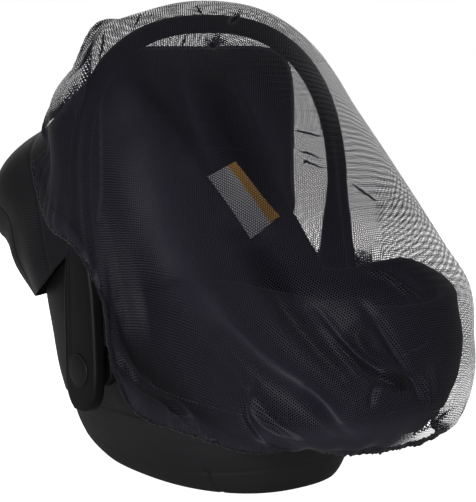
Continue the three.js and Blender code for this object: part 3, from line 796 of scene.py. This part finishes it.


# each crease: reach in mm, height in mm (below 0 for a hollow), how much the threads close up, which is
# painted light on the ridges and painted shade in the hollows, and its line of (hoop, side) points
NET_CREASES = [
    # broad swells and hollows that run from the handle down over the bucket
    (20, -11, -0.16, [(9.2, -0.157), (8.65, -0.197), (8.15, -0.231), (7.6, -0.244), (7.17, -0.251)]),
    (13, 8, 0.12, [(9.33, -0.204), (8.77, -0.244), (8.28, -0.271), (7.72, -0.284)]),
    (14, 8, 0.1, [(9.08, -0.077), (8.62, -0.108), (8.09, -0.137), (7.72, -0.157)]),
    (12, -8, -0.14, [(9.76, -0.331), (9.2, -0.318), (8.77, -0.311), (8.34, -0.324)]),
    (36, 15, 0.42, [(9.27, -0.398), (8.53, -0.418), (7.41, -0.47), (5.4, -0.57), (4.26, -0.57), (3.6, -0.52),
        (3.0, -0.46), (2.4, -0.42), (1.9, -0.41)]),
    # the rim of the widest swell, and the hollows on both sides of it
    (16, 3, 0.14, [(7.41, -0.505), (6.12, -0.572), (4.76, -0.645), (3.83, -0.679), (3.34, -0.666),
        (3.03, -0.679)]),
    (30, -13, -0.32, [(8.65, -0.74), (8.15, -0.79), (7.35, -0.83), (6.18, -0.86), (4.82, -0.88),
        (3.77, -0.9)]),
    (17, -11, -0.16, [(6.67, -0.318), (5.87, -0.324), (4.82, -0.344), (4.02, -0.331), (3.21, -0.304)]),
    # bunched cloth over the base seam
    (24, 9, 0.4, [(3.09, -0.452), (2.47, -0.438), (1.85, -0.445)]),
    (5, 7, 0.35, [(3.09, -0.612), (2.53, -0.746), (2.16, -0.846), (1.79, -0.913), (1.42, -0.946)]),
    (10, -14, 0.35, [(2.6, -0.70), (2.3, -0.726), (1.9, -0.73), (1.5, -0.692)]),
    (9, -9, -0.16, [(9.64, -0.946), (8.59, -0.893), (7.54, -0.906), (6.12, -0.926), (4.94, -0.967),
        (4.2, -0.993)]),
    (4, 4, 0.3, [(5.37, -0.906), (4.76, -0.946), (4.32, -0.987), (3.71, -1)]),
    # pleats that meet in a hollow at the foot end
    (6, 8, 0.25, [(4.82, -0.271), (4.2, -0.258), (3.83, -0.237), (3.58, -0.211), (3.27, -0.184)]),
    (7, -8, -0.1, [(4.39, -0.271), (3.89, -0.258), (3.46, -0.244), (3.15, -0.217)]),
    (7, 8, 0.22, [(4.88, -0.171), (4.32, -0.151), (3.77, -0.13), (3.15, -0.097)]),
    (10, -15, -0.2, [(3.3, -0.205), (3.1, -0.165), (2.84, -0.117)]),
    (9, -8, -0.1, [(4.63, -0.164), (4.26, -0.217), (3.83, -0.211), (3.64, -0.171)]),
    (5, 6, 0.25, [(2.53, -0.264), (2.9, -0.231), (3.09, -0.211)]),
    (6, 7, 0.25, [(3.34, -0.137), (3.09, -0.09), (2.59, -0.07)]),
    (5, -8, 0, [(3.21, -0.057), (2.72, -0.043), (2.35, -0.03)]),
    (7, 6, 0.3, [(3.5, -0.03), (2.9, -0.012), (2.47, 0.0)]),
    (5, -6, -0.1, [(5.75, -0.13), (5.5, -0.09), (4.88, -0.043)]),
    (10, 5, 0.1, [(5.75, -0.097), (5.44, -0.057), (4.88, -0.017)]),
    # loose folds of the far corner, where the net hangs free
    (5, 7, 0.45, [(1.92, 0.064), (1.6, 0.03), (1.3, 0.0), (1.05, -0.05)]),
    (5, 6, 0.4, [(1.98, 0.177), (1.7, 0.12), (1.4, 0.06), (1.1, 0.02)]),
    (6, -6, -0.3, [(1.95, 0.12), (1.6, 0.08), (1.3, 0.03)]),
    # slack behind the handle
    (7, 12, 0.45, [(11.31, -0.579), (11.31, -0.518), (11.37, -0.465), (11.68, -0.418)]),
    (6, 9, 0.5, [(11.8, -0.625), (11.74, -0.579), (11.55, -0.525)]),
    (30, 6, 0.2, [(12.4, -0.62), (12.2, -0.5), (12.1, -0.36), (12.0, -0.22)]),
    (7, 7, 0.4, [(12.6, -0.55), (12.45, -0.45), (12.3, -0.34)]),
    (6, -6, 0.1, [(12.9, -0.5), (12.7, -0.4), (12.5, -0.28)]),
    (3.4, 9, 0.7, [(10.32, 0.064), (10.01, 0.03), (9.82, -0.003)]),
    (3.4, 7, 0.7, [(9.39, -0.124), (9.45, -0.097), (9.45, -0.07), (9.33, -0.064)]),
    (4, 7, 0.7, [(9.58, -0.064), (9.45, -0.084), (9.33, -0.104)]),
]
# lines of (hoop, side) points along which the net is pinched into a narrow pleat
NET_PLEATS = [
    [(3.71, -0.117), (3.83, -0.09), (3.89, -0.057), (4.02, -0.03)],
    [(8.03, -0.07), (7.97, -0.037), (7.91, -0.01)],
    [(7.78, -0.09), (7.72, -0.064), (7.66, -0.05)],
    [(7.62, -0.108), (7.66, -0.09), (7.55, -0.06)],
    [(7.35, -0.01), (7.23, 0.01), (7.1, 0.03)],
    [(11.49, -0.358), (11.12, -0.385), (11, -0.411)],
    [(11.24, -0.231), (10.93, -0.244), (10.69, -0.264)],
    [(10.56, -0.064), (10.25, -0.064), (10.07, -0.064)],
    [(9.7, -0.144), (9.58, -0.164), (9.51, -0.177)],
]


def mosquito_net():
    grid, closing, ripples = net_grid()
    piece = new_piece("mosquito_net", grid.reshape(-1, 3), grid_faces(*NET_GRID), NET_MESH)
    grid_uv(piece, grid, 1, flat=flattened(grid))
    mark_points(piece, closing=closing, ripples=ripples)
    return piece, grid


def flattened(grid):
    """The cloth laid out flat, found on a coarse copy and read back for every point."""
    rows, columns = grid.shape[:2]
    pick_i = np.unique(np.linspace(0, rows - 1, 44).astype(int))
    pick_j = np.unique(np.linspace(0, columns - 1, 60).astype(int))
    coarse = grid[np.ix_(pick_i, pick_j)]
    flat = unwrap(coarse)
    steps_i = np.interp(np.arange(rows), pick_i, np.arange(len(pick_i)))
    steps_j = np.interp(np.arange(columns), pick_j, np.arange(len(pick_j)))
    i0 = np.clip(steps_i.astype(int), 0, len(pick_i) - 2)
    j0 = np.clip(steps_j.astype(int), 0, len(pick_j) - 2)
    a, b = (steps_i - i0)[:, None, None], (steps_j - j0)[None, :, None]
    corners = [[flat[np.ix_(i0 + di, j0 + dj)] for dj in (0, 1)] for di in (0, 1)]
    return ((1 - a) * (1 - b) * corners[0][0] + a * (1 - b) * corners[1][0]
            + (1 - a) * b * corners[0][1] + a * b * corners[1][1])


def unwrap(coarse):
    """Relaxes a grid into the plane until its threads have about their real lengths, in mm."""
    # start with every hoop as a straight row, and let the threads pull it into its fan
    flat = straight_rows(coarse)
    pairs = ((slice(None, -1), slice(None), slice(1, None), slice(None)),
             (slice(None), slice(None, -1), slice(None), slice(1, None)),
             (slice(None, -1), slice(None, -1), slice(1, None), slice(1, None)),
             (slice(1, None), slice(None, -1), slice(None, -1), slice(1, None)))
    rests = [np.linalg.norm(coarse[c, d] - coarse[a, b], axis=2) for a, b, c, d in pairs]
    for _ in range(1500):
        move = np.zeros_like(flat)
        count = np.zeros(flat.shape[:2] + (1,))
        for (a, b, c, d), rest in zip(pairs, rests):
            gap = flat[c, d] - flat[a, b]
            length = np.maximum(np.linalg.norm(gap, axis=2), 1e-6)
            push = (gap * ((length - rest) / length)[..., None]) * 0.5
            move[a, b] += push
            move[c, d] -= push
            count[a, b] += 1
            count[c, d] += 1
        flat = flat + 0.9 * move / count
    return flat


def on_net(grid, points, count):
    """Evenly spaced places of the net along a line of (hoop, side) points, with the way out of it."""
    rows, columns = grid.shape[:2]
    cells = np.array(points) * ((rows - 1) / (len(NET_HOOPS) - 1), (columns - 1) / 2) + (0, (columns - 1) / 2)
    cells = spaced(np.column_stack([cells, np.zeros(len(cells))]), count)[:, :2]
    i, j = np.floor(cells).astype(int).T
    s, t = (cells - np.floor(cells)).T[:, :, None]
    out = outward(grid)
    return [(1 - s) * (1 - t) * g[i, j] + s * (1 - t) * g[i + 1, j] + (1 - s) * t * g[i, j + 1]
            + s * t * g[i + 1, j + 1] for g in (grid, out)]


def net_pleats(grid):
    """Narrow pinched folds: two plies of net that stand a little off the cloth."""
    points, faces = [], []
    count = 40
    for line in NET_PLEATS:
        place, out = on_net(grid, line, count)
        side = np.cross(np.gradient(place, axis=0), out)
        side /= np.linalg.norm(side, axis=1, keepdims=True)
        taper = np.sin(np.pi * np.linspace(0.04, 0.96, count))[:, None] ** 0.6
        waver = 0.5 * np.sin(np.arange(count) * 0.55)[:, None]
        profile = [(-1.5, 0.2), (-0.6, 1.6), (0.1, 2.4), (0.7, 1.5), (1.4, 0.2)]
        strip = np.stack([place + side * (across * taper + waver) + out * height * taper
                          for across, height in profile], axis=1)
        faces += grid_faces(count, len(profile), start=len(points))
        points += strip.reshape(-1, 3).tolist()
    piece = new_piece("net_pleats", points, faces, NET_MESH)
    piece.data.uv_layers.new(name="cloth")
    # pinched so tight that no hole is left
    mark_points(piece, closing=np.full(len(points), 0.8))
    return piece


def edge_loops(grid, insets, steps):
    """Loops round a grid, each some cells further in, with matching points on every side."""
    rows, columns = grid.shape[:2]
    loops = []
    for k in insets:
        inner = grid[k:rows - k, k:columns - k]
        sides = [inner[0], inner[:, -1], inner[-1, ::-1], inner[::-1, 0]]
        loops.append(np.vstack([spaced(side, count + 1)[:-1] for side, count in zip(sides, steps)]))
    return np.array(loops)


def gathered_edge(grid):
    """The net beside its elastic, drawn up into deep narrow pleats."""
    insets = (0, 1, 2, 3, 5, 7, 10)
    turns = [int(run_length(side)[-1] / 1.3) for side in (grid[0], grid[:, -1], grid[-1], grid[:, 0])]
    loops = edge_loops(grid, insets, turns)
    count = loops.shape[1]
    k = np.arange(count) * 2 * np.pi / count
    # whole numbers of pleats round the edge, so that the last one meets the first
    pleat = np.sin(412 * k + 2.6 * np.sin(23 * k)) + 0.5 * np.sin(265 * k + 1.9 * np.sin(11 * k))
    along = np.roll(loops, -1, axis=1) - np.roll(loops, 1, axis=1)
    out = np.cross(along, np.gradient(loops, axis=0))
    out /= np.maximum(np.linalg.norm(out, axis=2, keepdims=True), 1e-9)
    centre = grid.reshape(-1, 3).mean(axis=0)
    out *= np.sign(np.sum(out * (loops - centre), axis=2, keepdims=True))
    depth = 3.8 * np.exp(-(np.array(insets) / 6.5) ** 2)[:, None] * np.linspace(0.35, 1, 3)[np.minimum(
        2, np.arange(len(insets)))][:, None]
    # the near side's edge lies nearly smooth, and the foot end's is drawn up most
    share = np.repeat([1.0, 0.9, 0.8, 0.35], turns)
    for _ in range(40):
        share = 0.5 * share + 0.25 * (np.roll(share, 1) + np.roll(share, -1))
    loops = loops + out * (0.8 + depth * share * (0.5 + 0.33 * pleat))[..., None]
    piece = new_piece("gathered_edge", loops.reshape(-1, 3), grid_faces(len(insets), count, around=True),
                      NET_MESH)
    run = np.repeat(np.arange(count)[None] * 1.9, len(insets), axis=0)
    drop = np.repeat(np.array(insets)[:, None] * 3.4, count, axis=1)
    grid_uv(piece, loops, 1, flat=np.stack([run, drop], axis=2))
    mark_points(piece, closing=np.repeat(0.5 * np.exp(-(np.array(insets) / 6) ** 2), count))
    return piece


def net_hem(grid):
    """The elastic casing round the edge, bunched into small knots of cloth."""
    rows, columns = grid.shape[:2]
    loop = grid.reshape(-1, 3)[border(rows, columns)]
    loop = np.vstack([loop, loop[:1]])
    line = spaced(loop, 1100)[:-1]
    for _ in range(6):
        line = 0.5 * line + 0.25 * (np.roll(line, 1, axis=0) + np.roll(line, -1, axis=0))
    k = np.arange(len(line))
    radius = 2.3 + 0.5 * np.sin(k * 1.35 + 0.8 * np.sin(k * 0.17)) + 0.35 * np.sin(k * 0.61 + 1.1)
    return tube("net_hem", line, radius, HEM_CLOTH, around=9, closed=True)


# the sewn patch

def patch_material():
    """Coated satin ribbon: a smooth off-white weave with a faint rib and a dull shine, and an amber
    band along one long side."""
    material, tree = fresh_material("satin_ribbon")
    flat = add_node(tree, "ShaderNodeUVMap", uv_map="cloth").outputs["UV"]
    place = add_node(tree, "ShaderNodeSeparateXYZ", {0: flat})
    edge = mm(PATCH_WIDTH * PATCH_BAND)
    band = add_node(tree, "ShaderNodeMapRange", {"Value": place.outputs["X"], "From Min": edge - mm(0.36),
                                                 "From Max": edge + mm(0.36)})
    colour = add_node(tree, "ShaderNodeMix", {0: band.outputs["Result"], 6: linear("#f6f7fa"),
                                              7: linear("#ffc24a")}, data_type="RGBA")
    grain = add_node(tree, "ShaderNodeTexWave", {"Vector": flat, "Scale": 60.0}, bands_direction="Y")
    dress(tree, colour.outputs[2], grain.outputs["Fac"], 0.15, 0.0003, {"Roughness": 0.55})
    return material


def wing_x(f, z):
    """How far out the liner's face stands on the far wing."""
    low, high = wall_span(f)
    t = np.clip((z - low) / (high - low), 0, 1)
    out = -SHELL_WALL - COVER_PAD - 1.5
    half = column_at(SHELL_LEVELS, "t", "half", t) + out
    head = column_at(SHELL_LEVELS, "t", "head", t) + out
    share = np.clip(np.abs(f - SHELL_CENTRE) / (head + SHELL_CENTRE), 0, 0.98)
    lean = 1 + (WING_WAIST - 1) * smooth((-10 - f) / 90) * t * t
    return lean * half * (1 - share ** SQUARE_HEAD) ** (1 / SQUARE_HEAD)


def patch_point(a, b, lift):
    """A point of the patch: a along it and b across it, as shares from 0 to 1."""
    weights = ((1 - a) * (1 - b), (1 - a) * b, a * b, a * (1 - b))
    f = sum(w * v for w, v in zip(weights, PATCH_CORNERS["f"]))
    z = sum(w * v for w, v in zip(weights, PATCH_CORNERS["z"]))
    return np.stack([wing_x(f, z) - lift, -f, z], axis=-1)


def sewn_patch():
    a, b = np.meshgrid(np.linspace(0, 1, 61), np.linspace(0, 1, 37), indexing="ij")
    flat = np.stack([(b - 0.5) * PATCH_WIDTH, (a - 0.5) * PATCH_LENGTH], axis=2)
    return thick_sheet("sewn_patch", patch_point(a, b, 1.3), PATCH_THICK, patch_material(), flat)


# stitches

def stitch_row():
    """A tree that lays short stitches of thread along the edges of a mesh line."""
    tree = bpy.data.node_groups.new("stitch_row", "GeometryNodeTree")
    for name, kind in (("Line", "Geometry"), ("Stitch Length", "Float"), ("Stitch Pitch", "Float"),
                       ("Thread Radius", "Float"), ("Thread", "Material")):
        tree.interface.new_socket(name, in_out="INPUT", socket_type="NodeSocket" + kind)
    tree.interface.new_socket("Stitches", in_out="OUTPUT", socket_type="NodeSocketGeometry")
    sizes = add_node(tree, "NodeGroupInput").outputs
    line = add_node(tree, "GeometryNodeMeshToCurve", {"Mesh": sizes["Line"]})
    places = add_node(tree, "GeometryNodeResampleCurve", {
        "Curve": line.outputs[0], "Length": sizes["Stitch Pitch"]}, mode="LENGTH")
    half = add_node(tree, "ShaderNodeMath", {0: sizes["Stitch Length"], 1: 0.5}, operation="MULTIPLY")
    bead = add_node(tree, "GeometryNodeMeshUVSphere", {"Segments": 6, "Rings": 4, "Radius": 1.0})
    scale = add_node(tree, "ShaderNodeCombineXYZ", {0: sizes["Thread Radius"], 1: sizes["Thread Radius"],
                                                    2: half.outputs[0]})
    stitch = add_node(tree, "GeometryNodeTransform", {"Geometry": bead.outputs["Mesh"],
                                                      "Scale": scale.outputs[0]})
    tangent = add_node(tree, "GeometryNodeInputTangent")
    turn = add_node(tree, "FunctionNodeAlignRotationToVector", {"Vector": tangent.outputs[0]}, axis="Z")
    # lengths from 0.88 to 1.08 of the stitch, with 7 as the seed
    uneven = add_node(tree, "FunctionNodeRandomValue", {2: 0.88, 3: 1.08, 8: 7}, data_type="FLOAT")
    laid = add_node(tree, "GeometryNodeInstanceOnPoints", {
        "Points": places.outputs[0], "Instance": stitch.outputs[0], "Rotation": turn.outputs[0],
        "Scale": uneven.outputs[1]})
    whole = add_node(tree, "GeometryNodeRealizeInstances", {"Geometry": laid.outputs[0]})
    dressed = add_node(tree, "GeometryNodeSetMaterial", {"Geometry": whole.outputs[0],
                                                         "Material": sizes["Thread"]})
    add_node(tree, "NodeGroupOutput", {"Stitches": dressed.outputs[0]})
    return tree


STITCH_ROW = stitch_row()


def stitches(name, lines, length, pitch, radius, thread):
    """Stitches along lines of points, as one plain mesh. Lengths are in millimetres."""
    points, edges = [], []
    for line in lines:
        edges += [(len(points) + k, len(points) + k + 1) for k in range(len(line) - 1)]
        points += [tuple(mm(v) for v in p) for p in line]
    guide_mesh = bpy.data.meshes.new(name + "_guide")
    guide_mesh.from_pydata(points, edges, [])
    guide = placed(name + "_guide", guide_mesh)
    rows = guide.modifiers.new("stitches", "NODES")
    rows.node_group = STITCH_ROW
    values = {"Stitch Length": mm(length), "Stitch Pitch": mm(pitch), "Thread Radius": mm(radius),
              "Thread": thread}
    for socket in STITCH_ROW.interface.items_tree:
        if socket.name in values:
            rows[socket.identifier] = values[socket.name]
    sewn = bpy.data.meshes.new_from_object(guide.evaluated_get(bpy.context.evaluated_depsgraph_get()))
    guide.modifiers.remove(rows)
    bpy.data.objects.remove(guide)
    sewn.name = name
    sewn.shade_smooth()
    return placed(name, sewn)


def patch_stitches():
    steps = np.linspace(0.045, 0.955, 30)
    edges = [(steps, 0.07), (0.955, np.linspace(0.07, 0.93, 20)), (steps[::-1], 0.93),
             (0.045, np.linspace(0.93, 0.07, 20))]
    lines = [patch_point(*np.broadcast_arrays(a, b), 2.0) for a, b in edges]
    return stitches("patch_stitches", lines, 3.0, 4.4, 0.5, PALE_THREAD)


def hood_stitches():
    grid = hood_grid()
    n = outward(grid)
    lines = []
    for bow in HOOD_BOWS:
        row = int(round((bow / (len(HOOD_HOOPS) - 1)) * (len(grid) - 1))) + 3
        lines.append(grid[row, 4:-4] + n[row, 4:-4] * 1.1)
    return stitches("hood_stitches", lines, 3.6, 5.0, 0.5, STITCH_THREAD)


def liner_stitches():
    angle = even_angles(360)
    padded = -SHELL_WALL - COVER_PAD
    lines = [wall_ring(t, padded + 0.8, 1.5 * (1 - t), angle) for t in LINER_CHANNELS]
    lines += [wall_ring(skirt_share(angle) + 0.05, COVER_SKIRT + 1.2, 0, angle)]
    loops = [np.vstack([line, line[:1]]) for line in lines]
    return stitches("liner_stitches", loops, 4.0, 5.6, 0.6, STITCH_THREAD)


def hem_stitches(grid):
    rows, columns = grid.shape[:2]
    loop = spaced(grid[2:-2, 2:-2].reshape(-1, 3)[border(rows - 4, columns - 4)], 900)
    return stitches("hem_stitches", [loop], 3.2, 5.0, 0.45, STITCH_THREAD)


# stage: floor, light, camera

def floor_and_light():
    """A white floor and surroundings that throw little light, and soft lamps on every side."""
    material, tree = fresh_material("pale_floor")
    seen = add_node(tree, "ShaderNodeLightPath")
    surface = add_node(tree, "ShaderNodeBsdfPrincipled", {
        "Base Color": linear("#f2f2f2"), "Roughness": 0.9, "Specular IOR Level": 0.1,
        "Emission Strength": seen.outputs["Is Camera Ray"], "Emission Color": linear("#ffffff")})
    add_node(tree, "ShaderNodeOutputMaterial", {"Surface": surface.outputs["BSDF"]})
    reach = 20000
    corners = [(-reach, -reach, 0), (reach, -reach, 0), (reach, reach, 0), (-reach, reach, 0)]
    floor = new_piece("floor", corners, [(0, 1, 2, 3)], material)
    world = bpy.data.worlds.new("studio")
    world.use_nodes = True
    tree = world.node_tree
    tree.nodes.clear()
    seen = add_node(tree, "ShaderNodeLightPath")
    strength = add_node(tree, "ShaderNodeMapRange", {"Value": seen.outputs["Is Camera Ray"],
                                                     "To Min": CAST_LIGHT, "To Max": SEEN_WHITE})
    around = add_node(tree, "ShaderNodeBackground", {"Color": (1, 1, 1, 1), "Strength": strength.outputs[0]})
    add_node(tree, "ShaderNodeOutputWorld", {"Surface": around.outputs[0]})
    bpy.context.scene.world = world
    bpy.context.scene.view_settings.view_transform = "Standard"
    for name, place, size, watts in LAMPS:
        light = bpy.data.lights.new(name, "AREA")
        light.size = size
        light.energy = watts
        lamp = placed(name, light)
        lamp.location = place
        lamp.rotation_euler = (Vector((0, 0, 0.25)) - Vector(place)).to_track_quat("-Z", "Y").to_euler()


def photo_camera():
    """The camera fitted to the photograph: on the foot end's left, a little above the handle."""
    turn, tilt = math.radians(CAMERA_TURN), math.radians(CAMERA_TILT)
    back = Vector((math.sin(turn) * math.cos(tilt), -math.cos(turn) * math.cos(tilt), math.sin(tilt)))
    right = Vector((math.cos(turn), math.sin(turn), 0))
    up = back.cross(right)
    camera = bpy.data.cameras.new("photo_camera")
    camera.lens = CAMERA_LENS
    camera.sensor_width = CAMERA_SENSOR
    camera.clip_end = 100
    eye = placed("photo_camera", camera)
    place = right * CAMERA_SHIFT + Vector((0, 0, CAMERA_AIM)) + back * CAMERA_DISTANCE
    eye.matrix_world = Matrix.Translation(place) @ Matrix((right, up, back)).transposed().to_4x4()
    bpy.context.scene.camera = eye


# put together

photo_camera()
floor_and_light()

PIECES = [
    (rocker_base(), "base", "base_plastic"),
    (bucket_shell(), "shell", "shell_plastic"),
    (padded_liner(), "seat_cover", "seat_cloth"),
    (carrying_handle(), "handle", "handle_plastic"),
    (pivot_boss("pivot_boss_far_turned", 1), "pivot_boss_far", "handle_plastic"),
    (pivot_boss("pivot_boss_near_turned", -1), "pivot_boss_near", "handle_plastic"),
    (pivot_cap("pivot_cap_far", 1), None, "handle_plastic"),
    (pivot_cap("pivot_cap_near", -1), None, "handle_plastic"),
    (hood(), "canopy", "canopy_cloth"),
    (hood_piping(), None, "canopy_cloth"),
    (sewn_patch(), "patch", "patch_cloth"),
    (patch_stitches(), None, "patch_cloth"),
    (hood_stitches(), None, "canopy_cloth"),
    (liner_stitches(), None, "seat_cloth"),
]
net, net_points = mosquito_net()
gathers = gathered_edge(net_points)
hem = net_hem(net_points)
pleats = net_pleats(net_points)
sewing = hem_stitches(net_points)
PIECES += [(net, "net", "net_mesh"), (gathers, None, "net_mesh"), (hem, None, "net_mesh"),
           (pleats, None, "net_mesh"), (sewing, None, "net_mesh")]

for piece, node, slot in PIECES:
    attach(piece, "root")
    if node:
        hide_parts(node)
